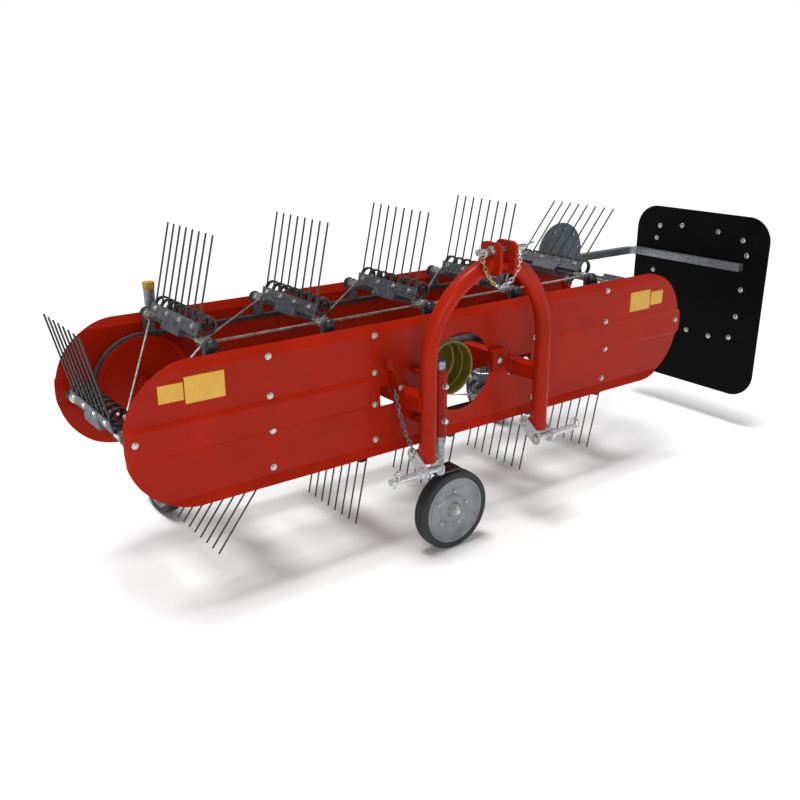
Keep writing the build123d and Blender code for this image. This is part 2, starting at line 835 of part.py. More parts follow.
# Index plate: a round plate on a bracket behind the rear panel, with the bolt of the fold
index_y = rear_face + index_setback
hub_y = index_y + index_thickness + fold_gap
arm_y = hub_y + index_thickness + board_arm_side / 2
with BuildPart() as index_plate:
    with BuildSketch(Plane.XZ.offset(-index_y)):
        with Locations((index_x, index_z)):
            Circle(index_radius)
    extrude(amount=-index_thickness)
    with BuildSketch(Plane.XZ.offset(-(rear_face + seat_gap))):
        with Locations((index_x, (index_bracket_low + index_bracket_high) / 2)):
            Rectangle(index_bracket_width, index_bracket_high - index_bracket_low)
    extrude(amount=-(index_setback - seat_gap))
    with BuildSketch(Plane.XZ.offset(-(index_y + index_thickness))):
        with Locations((index_x, index_z)):
            Circle(fold_bolt_radius)
    extrude(amount=-(2 * fold_gap + 2 * index_thickness))
    with BuildSketch(Plane.XZ.offset(-(hub_y + index_thickness + fold_gap))):
        with Locations((index_x, index_z)):
            Circle(fold_nut_radius)
    extrude(amount=-index_thickness)
save(index_plate.part, "index_plate")

# Board arm: a bent square tube with a round hub plate
arm_run_x = board_x - board_arm_side / 2
with BuildPart() as board_arm:
    with BuildLine() as arm_path:
        FilletPolyline(
            (index_x - board_arm_stub, arm_y, board_arm_z),
            (arm_run_x, arm_y, board_arm_z),
            (arm_run_x, board_arm_front, board_arm_z),
            radius=board_arm_bend,
        )
    with BuildSketch(Plane.YZ.offset(index_x - board_arm_stub)):
        with Locations((arm_y, board_arm_z)):
            Rectangle(board_arm_side, board_arm_side)
    sweep(path=arm_path.wires()[0])
    with BuildSketch(Plane.XZ.offset(-hub_y)):
        with Locations((index_x, index_z)):
            Circle(fold_hub_radius)
            Circle(fold_bolt_radius + axle_clearance, mode=Mode.SUBTRACT)
    extrude(amount=-index_thickness)
save(board_arm.part, "board_arm")

with BuildPart() as swath_board:
    with BuildSketch(Plane.YZ.offset(board_x)):
        with Locations(((board_front + board_rear) / 2, (board_bottom + board_top) / 2)):
            RectangleRounded(board_rear - board_front, board_top - board_bottom, board_corner)
    extrude(amount=board_thickness)
save(swath_board.part, "swath_board")
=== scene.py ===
import math

import bmesh
import bpy
from mathutils import Matrix, Vector


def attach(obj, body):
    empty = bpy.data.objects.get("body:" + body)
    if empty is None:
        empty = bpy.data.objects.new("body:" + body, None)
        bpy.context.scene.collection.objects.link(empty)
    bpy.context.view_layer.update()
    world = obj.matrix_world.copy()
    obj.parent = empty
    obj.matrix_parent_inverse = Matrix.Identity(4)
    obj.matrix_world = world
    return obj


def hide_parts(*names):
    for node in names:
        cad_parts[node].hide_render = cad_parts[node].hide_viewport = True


# Looks of the belt hay rake. Shapes are given in millimetres, as in the part's source,
# and each finished piece is scaled to metres.

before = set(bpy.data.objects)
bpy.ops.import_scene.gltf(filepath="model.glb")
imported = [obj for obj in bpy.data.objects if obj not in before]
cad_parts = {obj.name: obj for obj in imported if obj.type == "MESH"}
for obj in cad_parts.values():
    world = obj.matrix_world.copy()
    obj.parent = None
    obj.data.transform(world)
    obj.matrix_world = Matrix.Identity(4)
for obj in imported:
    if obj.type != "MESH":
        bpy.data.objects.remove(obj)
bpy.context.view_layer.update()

# Millimetres in a metre
metre = 1000

# Places that several pieces share, as in the part's source
front_face = 165
rear_face = 765
axis_height = 250
drive_centre = (0, 0, axis_height)
belt_radius = 172
pulley_x = 930
bar_reach = 232
inner_tube_x = 360.5
outer_tube_x = 743.3
front_post_x = -184
front_post_y = 50
rear_post_x = 825
rear_post_y = 855
caster_trail = 58
wheel_z = -193
top_pin_y = -20
top_pin_z = 700
strap_pivot_y = 60
strap_pivot_z = 42
board_x = 1691
index_x = 1118
index_z = 456


# Materials
def linear(hex_colour):
    """Turn an sRGB hex colour into the linear colour that a shader socket takes."""
    parts = [int(hex_colour[i : i + 2], 16) / 255 for i in (1, 3, 5)]
    parts = [p / 12.92 if p <= 0.04045 else ((p + 0.055) / 1.055) ** 2.4 for p in parts]
    return (*parts, 1.0)


def add_node(owner, kind, settings=None, values=None, links=None):
    """Add a node to a material or world, with settings, socket values and incoming links."""
    made = owner.node_tree.nodes.new(kind)
    for name, value in (settings or {}).items():
        setattr(made, name, value)
    for name, value in (values or {}).items():
        made.inputs[name].default_value = value
    for name, source in (links or {}).items():
        owner.node_tree.links.new(source, made.inputs[name])
    return made


def blank_material(name):
    """An empty material, and the coordinates that its patterns read."""
    material = bpy.data.materials.new(name)
    material.use_nodes = True
    material.node_tree.nodes.clear()
    place = add_node(material, "ShaderNodeTexCoord").outputs["Object"]
    return material, place


def close_material(material, colour, roughness, grain, depth_mm, edge_mm, gloss):
    """Join a colour, a roughness and a grain height to the surface, with softened edges."""
    rounded = add_node(
        material, "ShaderNodeBevel", {"samples": 4}, {"Radius": edge_mm / metre}
    ).outputs["Normal"]
    bump = add_node(
        material,
        "ShaderNodeBump",
        None,
        {"Strength": 0.6, "Distance": depth_mm / metre},
        {"Height": grain, "Normal": rounded},
    ).outputs["Normal"]
    shader = add_node(
        material,
        "ShaderNodeBsdfPrincipled",
        None,
        gloss,
        {"Base Color": colour, "Roughness": roughness, "Normal": bump},
    ).outputs["BSDF"]
    add_node(material, "ShaderNodeOutputMaterial", None, None, {"Surface": shader})
    return material


def mottled(name, light, dark, patch_mm, rough, grain_mm, depth_mm, edge_mm, **gloss):
    """A finish whose colour and roughness drift in soft patches over a grain.

    The grain of a real coat is finer, and is drawn as coarse as it needs to show.
    """
    material, place = blank_material(name)
    patches = add_node(
        material,
        "ShaderNodeTexNoise",
        None,
        {"Scale": metre / patch_mm, "Detail": 5.0, "Roughness": 0.62},
        {"Vector": place},
    ).outputs["Fac"]
    spread = add_node(
        material,
        "ShaderNodeMapRange",
        None,
        {"From Min": 0.36, "From Max": 0.64},
        {"Value": patches},
    ).outputs["Result"]
    colour = add_node(
        material,
        "ShaderNodeMix",
        {"data_type": "RGBA"},
        {6: linear(dark), 7: linear(light)},
        {0: spread},
    ).outputs[2]
    roughness = add_node(
        material,
        "ShaderNodeMapRange",
        None,
        {"From Min": 0.3, "From Max": 0.7, "To Min": rough[0], "To Max": rough[1]},
        {"Value": patches},
    ).outputs["Result"]
    grain = add_node(
        material,
        "ShaderNodeTexNoise",
        None,
        {"Scale": metre / grain_mm, "Detail": 3.0},
        {"Vector": place},
    ).outputs["Fac"]
    gloss = {key.replace("_", " "): value for key, value in gloss.items()}
    return close_material(material, colour, roughness, grain, depth_mm, edge_mm, gloss)


def spangled(name, light, dark, cell_mm, rough):
    """Zinc coat: crystals of slightly different greys, each with its own sheen."""
    frost_mm = 2.5
    frost_depth_mm = 0.15
    edge_mm = 0.8
    material, place = blank_material(name)
    cells = add_node(
        material,
        "ShaderNodeTexVoronoi",
        None,
        {"Scale": metre / cell_mm, "Randomness": 1.0},
        {"Vector": place},
    ).outputs["Color"]
    shade = add_node(material, "ShaderNodeSeparateColor", None, None, {"Color": cells})
    colour = add_node(
        material,
        "ShaderNodeMix",
        {"data_type": "RGBA"},
        {6: linear(dark), 7: linear(light)},
        {0: shade.outputs["Red"]},
    ).outputs[2]
    roughness = add_node(
        material,
        "ShaderNodeMapRange",
        None,
        {"To Min": rough[0], "To Max": rough[1]},
        {"Value": shade.outputs["Green"]},
    ).outputs["Result"]
    grain = add_node(
        material,
        "ShaderNodeTexNoise",
        None,
        {"Scale": metre / frost_mm, "Detail": 4.0},
        {"Vector": place},
    ).outputs["Fac"]
    gloss = {"Metallic": 0.85}
    return close_material(material, colour, roughness, grain, frost_depth_mm, edge_mm, gloss)


def wound(name, light, dark, wire_mm, rough):
    """Wire wound side by side: ridges across the machine, one to every two wires, each crest
    painted lighter as a painted highlight.
    """
    # The wave texture turns by this many radians in a metre for each unit of its scale
    wave_rate = 20
    ridge_depth_mm = 0.8
    edge_mm = 0.6
    material, place = blank_material(name)
    ridges = add_node(
        material,
        "ShaderNodeTexWave",
        {"bands_direction": "Y"},
        {"Scale": metre / wire_mm / wave_rate * math.pi, "Distortion": 0.0},
        {"Vector": place},
    ).outputs["Fac"]
    # The ridges' crests take the lighter colour: a painted highlight on every turn of the wire
    colour = add_node(
        material,
        "ShaderNodeMix",
        {"data_type": "RGBA"},
        {6: linear(dark), 7: linear(light)},
        {0: ridges},
    ).outputs[2]
    roughness = add_node(
        material,
        "ShaderNodeMapRange",
        None,
        {"To Min": rough[0], "To Max": rough[1]},
        {"Value": ridges},
    ).outputs["Result"]
    gloss = {"Coat Weight": 0.25, "Coat Roughness": 0.2}
    return close_material(material, colour, roughness, ridges, ridge_depth_mm, edge_mm, gloss)


# Powder-coated sheet and tube: a deep even red with a soft orange-peel gloss
red_powder_coat = mottled(
    "powder_coated_steel_red", "#a01d05", "#901803",
    patch_mm=260, rough=(0.30, 0.42), grain_mm=4.0, depth_mm=0.10, edge_mm=2.0,
    Specular_IOR_Level=0.1, Coat_Weight=0.03, Coat_Roughness=0.15,
)
# The same coat on small brackets, which sit in shade and look a little darker
red_bracket_coat = mottled(
    "powder_coated_bracket_red", "#901a05", "#7c1403",
    patch_mm=120, rough=(0.34, 0.45), grain_mm=3.0, depth_mm=0.10, edge_mm=1.2,
    Specular_IOR_Level=0.1, Coat_Weight=0.03, Coat_Roughness=0.2,
)
# Hot-dip galvanised posts and arm of the board: dull grey crystals
galvanised_steel = spangled(
    "galvanised_steel", "#9a9ea2", "#74797e", cell_mm=7.0, rough=(0.34, 0.52)
)
# The same zinc on the combs and the left pin's chain, darker and duller
dull_zinc_steel = spangled(
    "dull_zinc_steel", "#76797e", "#54575c", cell_mm=9.0, rough=(0.42, 0.6)
)
# Chassis black on the caster forks: a plain dark coat with a low sheen
chassis_black = mottled(
    "chassis_black_paint", "#1c1c1d", "#121213",
    patch_mm=60, rough=(0.35, 0.5), grain_mm=3.0, depth_mm=0.08, edge_mm=1.0,
)
# Bright electro-galvanised link brackets and right-hand chain: small pale crystals
bright_zinc_steel = spangled(
    "bright_zinc_steel", "#d3d6d8", "#b0b4b8", cell_mm=5.0, rough=(0.28, 0.42)
)
# Zinc-plated rods, shaft and fasteners: bright metal with a fine grain
zinc_plated_steel = mottled(
    "zinc_plated_steel", "#c9c9c4", "#a8a8a2",
    patch_mm=30, rough=(0.22, 0.36), grain_mm=1.5, depth_mm=0.05, edge_mm=0.5, Metallic=1.0,
)
# Yellow-passivated chain of the top pin: bright steel with a warm cast
passivated_steel = mottled(
    "yellow_passivated_steel", "#c2a878", "#8d7a58",
    patch_mm=14, rough=(0.25, 0.40), grain_mm=1.5, depth_mm=0.05, edge_mm=0.4, Metallic=1.0,
)
# Oil-tempered spring wire, painted black: dark, with a painted highlight as a lighter band on the
# ridges
spring_steel = wound(
    "black_spring_steel", "#2a2a2c", "#0b0b0c", wire_mm=6.0, rough=(0.34, 0.5)
)
# Moulded rubber of the two rake belts: matt black
belt_rubber = mottled(
    "moulded_belt_rubber", "#242423", "#171717",
    patch_mm=60, rough=(0.7, 0.85), grain_mm=2.0, depth_mm=0.2, edge_mm=1.0,
)
# Solid rubber tyre: matt charcoal with a fine moulded skin
tyre_rubber = mottled(
    "solid_tyre_rubber", "#2b2c2d", "#1d1e1f",
    patch_mm=40, rough=(0.62, 0.8), grain_mm=1.5, depth_mm=0.15, edge_mm=0.6,
)
# Pressed steel wheel disc with a stoved enamel: smooth light grey
wheel_enamel = mottled(
    "stoved_wheel_enamel_grey", "#85898b", "#74787a",
    patch_mm=50, rough=(0.32, 0.45), grain_mm=2.0, depth_mm=0.06, edge_mm=0.8,
    Coat_Weight=0.2, Coat_Roughness=0.2,
)
# Fabric-backed rubber sheet of the swath board: near black with a soft sheen
board_rubber = mottled(
    "ply_rubber_sheet", "#0e0d0f", "#09090a",
    patch_mm=180, rough=(0.5, 0.65), grain_mm=2.0, depth_mm=0.12, edge_mm=1.5,
    Specular_IOR_Level=0.05,
)
# Enamel of the index plate: blue-grey with an even soft gloss
index_enamel = mottled(
    "enamelled_plate_blue_grey", "#69727a", "#525b63",
    patch_mm=45, rough=(0.36, 0.5), grain_mm=2.5, depth_mm=0.1, edge_mm=1.0, Coat_Weight=0.15,
)
# Moulded polyethylene guard: its yellow darkened to olive as painted shade of the shadowed cup,
# and it takes some light through its wall
guard_plastic_painted_shade = mottled(
    "moulded_polyethylene_painted_shade", "#75691f", "#5e5418",
    patch_mm=50, rough=(0.38, 0.5), grain_mm=3.0, depth_mm=0.1, edge_mm=1.0,
    Subsurface_Weight=0.15, Subsurface_Scale=0.01,
)
# Printed vinyl, left blank: flat warm yellow
label_vinyl = mottled(
    "label_vinyl_yellow", "#cf9f35", "#c6942c",
    patch_mm=30, rough=(0.3, 0.4), grain_mm=3.0, depth_mm=0.02, edge_mm=0.2,
)
# Moulded plastic of black caps and bushings: dull and dark
black_nylon = mottled(
    "moulded_black_nylon", "#1d1d1e", "#121213",
    patch_mm=20, rough=(0.4, 0.55), grain_mm=2.0, depth_mm=0.08, edge_mm=0.8,
)
# Moulded plastic cap on the left rear post: dull yellow
cap_plastic = mottled(
    "moulded_cap_yellow", "#b99a2c", "#9c8022",
    patch_mm=20, rough=(0.4, 0.5), grain_mm=2.0, depth_mm=0.08, edge_mm=0.8,
)
# Sand-cast gearbox housing: dark and coarse
cast_iron = mottled(
    "sand_cast_iron", "#4a4b4c", "#333435",
    patch_mm=25, rough=(0.55, 0.75), grain_mm=2.5, depth_mm=0.5, edge_mm=1.5,
)

# Columns: material, how the node's name begins or ends
finishes = (
    (red_powder_coat, ("front_panel", "rear_panel", "headstock", "inner_frame", "_axle")),
    (red_bracket_coat, ("front_post_sleeve", "rear_left_clamp", "rear_right_clamp")),
    (dull_zinc_steel, ("comb_",)),
    (galvanised_steel, ("_post", "board_arm")),
    (chassis_black, ("_fork",)),
    (bright_zinc_steel, ("_link_bracket",)),
    (zinc_plated_steel, ("_rods", "top_link_pin", "pto_shaft")),
    (spring_steel, ("tines_",)),
    (belt_rubber, ("_belt",)),
    (tyre_rubber, ("_tyre",)),
    (wheel_enamel, ("_rim",)),
    (board_rubber, ("swath_board",)),
    (index_enamel, ("index_plate",)),
    (guard_plastic_painted_shade, ("pto_guard",)),
    (cast_iron, ("gearbox",)),
)
for node_name, node_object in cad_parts.items():
    for material, words in finishes:
        if any(node_name.startswith(word) or node_name.endswith(word) for word in words):
            node_object.data.materials.clear()
            node_object.data.materials.append(material)
            break


# Shape tools
def finish_piece(shape, name, material, body, crease=35):
    """Turn a bmesh in millimetres into an object in metres that rides on a body.

    Edges that bend by more than the crease, in degrees, stay sharp.
    """
    bmesh.ops.scale(shape, vec=[1 / metre] * 3, verts=shape.verts)
    mesh = bpy.data.meshes.new(name)
    shape.to_mesh(mesh)
    shape.free()
    mesh.materials.append(material)
    mesh.polygons.foreach_set("use_smooth", [True] * len(mesh.polygons))
    mesh.set_sharp_from_angle(angle=math.radians(crease))
    piece = bpy.data.objects.new(name, mesh)
    bpy.context.scene.collection.objects.link(piece)
    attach(piece, body)
    return piece


def round_edges(shape, edges, width):
    """Round some edges of a shape."""
    bmesh.ops.bevel(
        shape, geom=edges, offset=width, segments=2, profile=0.5, affect="EDGES", material=-1
    )


def add_round(shape, start, end, radius, edge, tip=None, sides=24):
    """A round bar or cone from start to end, with its end edges rounded."""
    start, end = Vector(start), Vector(end)
    run = end - start
    turn = run.to_track_quat("Z", "Y").to_matrix().to_4x4()
    made = bmesh.ops.create_cone(
        shape,
        cap_ends=True,
        segments=sides,
        radius1=radius,
        radius2=radius if tip is None else tip,
        depth=run.length,
        matrix=Matrix.Translation((start + end) / 2) @ turn,
    )
    edges = {e for v in made["verts"] for e in v.link_edges}
    rims = [e for e in edges if any(len(f.verts) == sides for f in e.link_faces)]
    round_edges(shape, rims, edge)


def add_block(shape, low, high, edge):
    """A block between two corners, with its edges rounded."""
    low, high = Vector(low), Vector(high)
    place = Matrix.Translation((low + high) / 2) @ Matrix.Diagonal((*(high - low), 1))
    made = bmesh.ops.create_cube(shape, size=1, matrix=place)
    round_edges(shape, list({e for v in made["verts"] for e in v.link_edges}), edge)


def add_bolt(shape, seat, direction, washer, head, height):
    """A hexagon head on a washer, on a seat, pointing outwards."""
    seat, out = Vector(seat), Vector(direction).normalized()
    washer_height = 2
    face = seat + washer_height * out
    add_round(shape, seat - out, face, washer, edge=0.6)
    add_round(shape, face, seat + (washer_height + height) * out, head, edge=0.9, sides=6)


def add_coach_bolt(shape, seat, direction, radius, height):
    """A low domed head with no slot, as a coach bolt has."""
    seat, out = Vector(seat), Vector(direction).normalized()
    rim_height = 1.5
    dome_inset = 0.5
    crown_share = 0.45
    rim = seat + rim_height * out
    add_round(shape, seat - out, rim, radius, edge=0.4)
    add_round(
        shape, rim, seat + height * out, radius - dome_inset, edge=1.2, tip=radius * crown_share
    )


def side_axes(axis):
    """An axis, and two directions square to it and to each other."""
    axis = Vector(axis).normalized()
    first = axis.orthogonal().normalized()
    return axis, first, axis.cross(first)


def spoke(first, second, turn):
    """The direction at a turn from the first of two side directions."""
    return first * math.cos(turn) + second * math.sin(turn)


def add_turned(shape, profile, centre, axis, steps=72):
    """Turn a closed profile of (radius, distance along the axis) through a full circle."""
    centre = Vector(centre)
    axis, first, _ = side_axes(axis)
    corners = [shape.verts.new(centre + first * r + axis * a) for r, a in profile]
    edges = [shape.edges.new((a, b)) for a, b in zip(corners, corners[1:] + corners[:1])]
    bmesh.ops.spin(
        shape,
        geom=corners + edges,
        cent=centre,
        axis=axis,
        angle=math.tau,
        steps=steps,
        use_merge=True,
    )
    bmesh.ops.remove_doubles(shape, verts=shape.verts, dist=0.001)
    bmesh.ops.recalc_face_normals(shape, faces=shape.faces)


def add_wire(shape, points, radius, closed=False, steps=4, sides=2):
    """A bent wire along a smooth line through control points."""
    curve = bpy.data.curves.new("wire", "CURVE")
    curve.dimensions = "3D"
    curve.bevel_depth = radius
    curve.bevel_resolution = sides
    curve.use_fill_caps = not closed
    spline = curve.splines.new("NURBS")
    spline.points.add(len(points) - 1)
    for place, point in zip(spline.points, points):
        place.co = (*point, 1)
    spline.order_u = 3
    spline.use_endpoint_u = not closed
    spline.use_cyclic_u = closed
    spline.resolution_u = steps
    carrier = bpy.data.objects.new("wire", curve)
    mesh = bpy.data.meshes.new_from_object(carrier)
    shape.from_mesh(mesh)
    bpy.data.objects.remove(carrier)
    bpy.data.curves.remove(curve)
    bpy.data.meshes.remove(mesh)


def add_ring(shape, centre, axis, radius, wire):
    """A ring of wire. Its control points stand outside it, as the smooth line cuts corners."""
    centre = Vector(centre)
    _, first, second = side_axes(axis)
    corner_count = 8
    corner_reach = 1.06 * radius
    points = []
    for step in range(corner_count):
        turn = step / corner_count * math.tau
        points.append(centre + corner_reach * spoke(first, second, turn))
    add_wire(shape, points, wire, closed=True, steps=3)


def add_chain(shape, line, pitch=15.0, width=11.0, wire=1.9):
    """Oval links along a line of points, each turned a quarter from the one before."""
    samples_per_span = 40
    samples = []
    for start, end in zip(line, line[1:]):
        for step in range(samples_per_span):
            samples.append(Vector(start).lerp(Vector(end), step / samples_per_span))
    length = sum((b - a).length for a, b in zip(samples, samples[1:]))
    count = max(2, round(length / pitch))
    walked = 0.0
    centres = []
    for a, b in zip(samples, samples[1:]):
        walked += (b - a).length
        while len(centres) < count and walked >= (len(centres) + 0.5) * length / count:
            centres.append((b.copy(), (b - a).normalized()))
    # Control points of a link, as shares of its half length and half width
    oval = (
        (-1, -0.55), (-1, 0.55), (-0.35, 1), (0.35, 1),
        (1, 0.55), (1, -0.55), (0.35, -1), (-0.35, -1),
    )
    end_reach = 1.12
    half = length / count / 2 + wire
    side = width / 2
    for index, (centre, along) in enumerate(centres):
        _, first, second = side_axes(along)
        across = first if index % 2 == 0 else second
        points = [centre + along * half * end_reach * u + across * side * v for u, v in oval]
        add_wire(shape, points, wire, closed=True, steps=2, sides=1)


# Bolt heads on both panels, over the stiffeners and near the rounded ends
bolt_columns = (-outer_tube_x, -inner_tube_x, inner_tube_x, outer_tube_x)
bolt_rows = (437.4, 313.9, 205.3, 82.1)
end_bolt_x = 1168.7
end_bolt_z = 259.6
rib_start = 390
rib_base_half = 54
rib_crest_depth = 11
rib_slope_depth = 7.5
for name, face, out in (("front", front_face, -1), ("rear", rear_face, 1)):
    shape = bmesh.new()
    for x in bolt_columns:
        for z in bolt_rows:
            on_rib = abs(x) > rib_start and abs(z - axis_height) < rib_base_half
            seat = face + out * (rib_slope_depth if on_rib else 0)
            add_bolt(shape, (x, seat, z), (0, out, 0), washer=11, head=8.5, height=5)
    for x in (-end_bolt_x, end_bolt_x):
        seat = face + out * rib_crest_depth
        add_bolt(shape, (x, seat, end_bolt_z), (0, out, 0), washer=10, head=8, height=5)
    finish_piece(shape, f"{name}_panel_bolts", zinc_plated_steel, "frame")

# Blank yellow labels at the two ends of the front panel
# Columns: name, left x, right x, low z, high z
labels = (
    ("label_left_small", -1088, -1013, 358, 410),
    ("label_left_large", -1009, -886, 344, 423),
    ("label_right_large", 884, 1004, 331, 409),
    ("label_right_small", 1010, 1084, 342, 397),
)
label_front = front_face - 0.8
label_back = front_face + 0.5
for name, left, right, low, high in labels:
    shape = bmesh.new()
    add_block(shape, (left, label_front, low), (right, label_back, high), edge=0.3)
    finish_piece(shape, name, label_vinyl, "frame")

# Wheels: rubber tyre with two grooves, dished disc with five bolts, and the axle's nut
# Columns: name, centre, direction of the outer side
wheels = (
    ("front", (front_post_x + caster_trail, front_post_y, wheel_z), (0, -1, 0)),
    ("rear_left", (-rear_post_x, rear_post_y + caster_trail, wheel_z), (1, 0, 0)),
    ("rear_right", (rear_post_x, rear_post_y + caster_trail, wheel_z), (1, 0, 0)),
)
# Columns: radius, distance outwards from the wheel's middle
tyre_profile = (
    (118.2, -24), (121, -27), (128, -28), (135, -27.4), (139.6, -24), (141.9, -18), (142.3, -11),
    (139.2, -10), (139.2, -7), (142.5, -6), (142.5, 6), (139.2, 7), (139.2, 10), (142.3, 11),
    (141.9, 18), (139.6, 24), (135, 27.4), (128, 28), (121, 27), (118.2, 24),
)
disc_profile = (
    (118, 25), (114, 26), (111, 22), (108, 14), (103, 11), (97, 12), (92, 8), (72, 5), (56, 6),
    (50, 12), (42, 15), (30, 15), (26, 19), (24, 27.5), (9, 27.5), (9, -27.5), (24, -27.5),
    (26, 8), (42, 10), (50, 6), (56, 1), (72, 0), (92, 3), (97, 6), (103, 5), (105, -10),
    (111, -22), (114, -26), (118, -25),
)
disc_bolt_count = 5
disc_bolt_circle = 64
disc_bolt_seat = 5.5
# Columns: start and end along the axle, radius, rounding, sides
axle_end = ((28, 30.5, 15, 0.6, 24), (30.5, 39, 12, 1.2, 6), (39, 43, 7.5, 1, 24))
for name, centre, out in wheels:
    shape = bmesh.new()
    add_turned(shape, tyre_profile, centre, out)
    tyre = finish_piece(shape, f"{name}_tyre_moulded", tyre_rubber, f"{name}_wheel", crease=50)
    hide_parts(f"{name}_tyre")
    shape = bmesh.new()
    add_turned(shape, disc_profile, centre, out)
    disc = finish_piece(shape, f"{name}_wheel_disc", wheel_enamel, f"{name}_wheel", crease=40)
    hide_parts(f"{name}_rim")
    middle = Vector(centre)
    axis, first, second = side_axes(out)
    shape = bmesh.new()
    for step in range(disc_bolt_count):
        turn = step / disc_bolt_count * math.tau
        seat = middle + axis * disc_bolt_seat + disc_bolt_circle * spoke(first, second, turn)
        add_bolt(shape, seat, out, washer=6, head=5, height=4)
    finish_piece(shape, f"{name}_disc_bolts", zinc_plated_steel, f"{name}_wheel")
    shape = bmesh.new()
    for start, end, radius, edge, sides in axle_end:
        add_round(shape, middle + axis * start, middle + axis * end, radius, edge, sides=sides)
    finish_piece(shape, f"{name}_axle_nut", zinc_plated_steel, f"{name}_caster")

# Swath board: dome heads on its face, where it is bolted to the arm
# Columns: y, z
board_bolts = (
    (672, 545), (546, 560), (347, 555), (215, 532), (188, 467), (196, 310), (204, 184), (228, 80),
    (336, 64), (461, 68), (689, 328), (686, 485),
)
shape = bmesh.new()
for y, z in board_bolts:
    add_coach_bolt(shape, (board_x, y, z), (-1, 0, 0), radius=12, height=5)
finish_piece(shape, "board_bolts", zinc_plated_steel, "board")

# Drive guard: a bell with a rolled lip and moulded steps
# Columns: radius, distance behind the lower link pins
bell_profile = (
    (97, 210), (97, 215), (94.5, 218), (94.5, 258), (92, 261), (92, 305), (86, 309), (84, 345),
    (72, 372), (60, 387), (21, 390), (21, 386), (57, 383), (68, 369), (80, 343), (82, 306),
    (88, 302), (88, 259), (91, 256), (91, 212), (94, 210),
)
shape = bmesh.new()
add_turned(shape, bell_profile, drive_centre, (0, 1, 0))
bell = finish_piece(shape, "guard_bell", guard_plastic_painted_shade, "frame", crease=40)
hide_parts("pto_guard")

# Drive shaft with six splines, which stop short of its two ends
shaft_front = 282
shaft_back = 390
shaft_core_radius = 14.6
spline_count = 6
spline_half_width = 4.3
spline_root = 10
spline_crest = 17.4
spline_front = shaft_front + 2
spline_back = shaft_back - 1
shape = bmesh.new()
add_round(
    shape,
    (0, shaft_front, axis_height),
    (0, shaft_back, axis_height),
    shaft_core_radius,
    edge=1.5,
    sides=36,
)
for step in range(spline_count):
    before = set(shape.verts)
    add_block(
        shape,
        (-spline_half_width, spline_front, spline_root),
        (spline_half_width, spline_back, spline_crest),
        edge=0.6,
    )
    fresh = [v for v in shape.verts if v not in before]
    turn = Matrix.Rotation(step / spline_count * math.tau, 4, "Y")
    bmesh.ops.transform(shape, matrix=Matrix.Translation(drive_centre) @ turn, verts=fresh)
splines = finish_piece(shape, "splined_shaft", zinc_plated_steel, "frame")
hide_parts("pto_shaft")

# Top link: a retaining chain that hangs from both ends of the pin
left_chain_line = (
    (-88, -24, 694), (-92, -40, 674), (-84, -48, 640), (-58, -49, 607), (-38, -49, 592),
)
right_chain_line = (
    (-38, -49, 592), (-18, -49, 587), (12, -49, 596), (36, -49, 615), (50, -49, 640),
    (60, -46, 662), (72, -34, 682), (76, -26, 692),
)
shape = bmesh.new()
add_chain(shape, left_chain_line)
finish_piece(shape, "top_pin_chain_left", passivated_steel, "frame")
shape = bmesh.new()
add_chain(shape, right_chain_line)
finish_piece(shape, "top_pin_chain_right", bright_zinc_steel, "frame")

# Clip with its ring and cross pin at the left end of the top pin, handle at the right end
clip_ring_centre = (-86, top_pin_y - 12, top_pin_z - 4)
clip_ring_axis = (0.3, 1, 0.2)
clip_start = (-106, top_pin_y - 13, top_pin_z - 3)
clip_end = (-58, top_pin_y - 13, top_pin_z - 7)
cross_pin_x = -88
cross_pin_reach = 19
clip_pin_radius = 3
handle_line = (
    (90, top_pin_y, top_pin_z),
    (104, top_pin_y - 2, top_pin_z + 4),
    (122, top_pin_y - 4, top_pin_z + 8),
    (140, top_pin_y - 4, top_pin_z + 11),
)
shape = bmesh.new()
add_ring(shape, clip_ring_centre, clip_ring_axis, radius=13, wire=2.2)
add_round(shape, clip_start, clip_end, clip_pin_radius, edge=0.8)
add_round(
    shape,
    (cross_pin_x, top_pin_y, top_pin_z + cross_pin_reach),
    (cross_pin_x, top_pin_y, top_pin_z - cross_pin_reach),
    clip_pin_radius,
    edge=0.6,
)
add_wire(shape, handle_line, radius=3.5)
finish_piece(shape, "top_pin_clip", zinc_plated_steel, "frame")

# Washers of the top pin, just outside the ears
ear_face = 38.2
washer_face = 41
top_washer_radius = 17
shape = bmesh.new()
for side in (-1, 1):
    inner = (side * ear_face, top_pin_y, top_pin_z)
    outer = (side * washer_face, top_pin_y, top_pin_z)
    add_round(shape, inner, outer, top_washer_radius, edge=0.8)
finish_piece(shape, "top_pin_washers", zinc_plated_steel, "frame")

# Lower links: bolts through the straps, nuts of the pins, and linch pins with rings
strap_inner_face = 218
strap_outer_face = 288
linch_x = 404
linch_reach = 24
linch_radius = 4
linch_ring_y = -16
linch_ring_z = 22
for name, side in (("left", -1), ("right", 1)):
    inner = side * strap_inner_face
    outer = side * strap_outer_face
    linch = side * linch_x
    inwards = (-side, 0, 0)
    pivot = (strap_pivot_y, strap_pivot_z)
    shape = bmesh.new()
    add_bolt(shape, (outer, *pivot), (side, 0, 0), washer=15, head=12, height=8)
    add_bolt(shape, (inner, *pivot), inwards, washer=15, head=12, height=7)
    add_bolt(shape, (inner, 0, 0), inwards, washer=18, head=15, height=9)
    add_round(shape, (linch, 0, linch_reach), (linch, 0, -linch_reach), linch_radius, edge=0.8)
    add_ring(shape, (linch, linch_ring_y, linch_ring_z), (side, 0.3, 0.1), radius=17, wire=2.4)
    finish_piece(shape, f"{name}_link_fasteners", zinc_plated_steel, f"{name}_link")

# Retaining chain of the left pin
left_pin_line = ((-322, 108, 262), (-322, 84, 190), (-315, 56, 120), (-308, 22, 66))
shape = bmesh.new()
add_chain(shape, left_pin_line)
finish_piece(shape, "left_pin_chain", dull_zinc_steel, "frame")

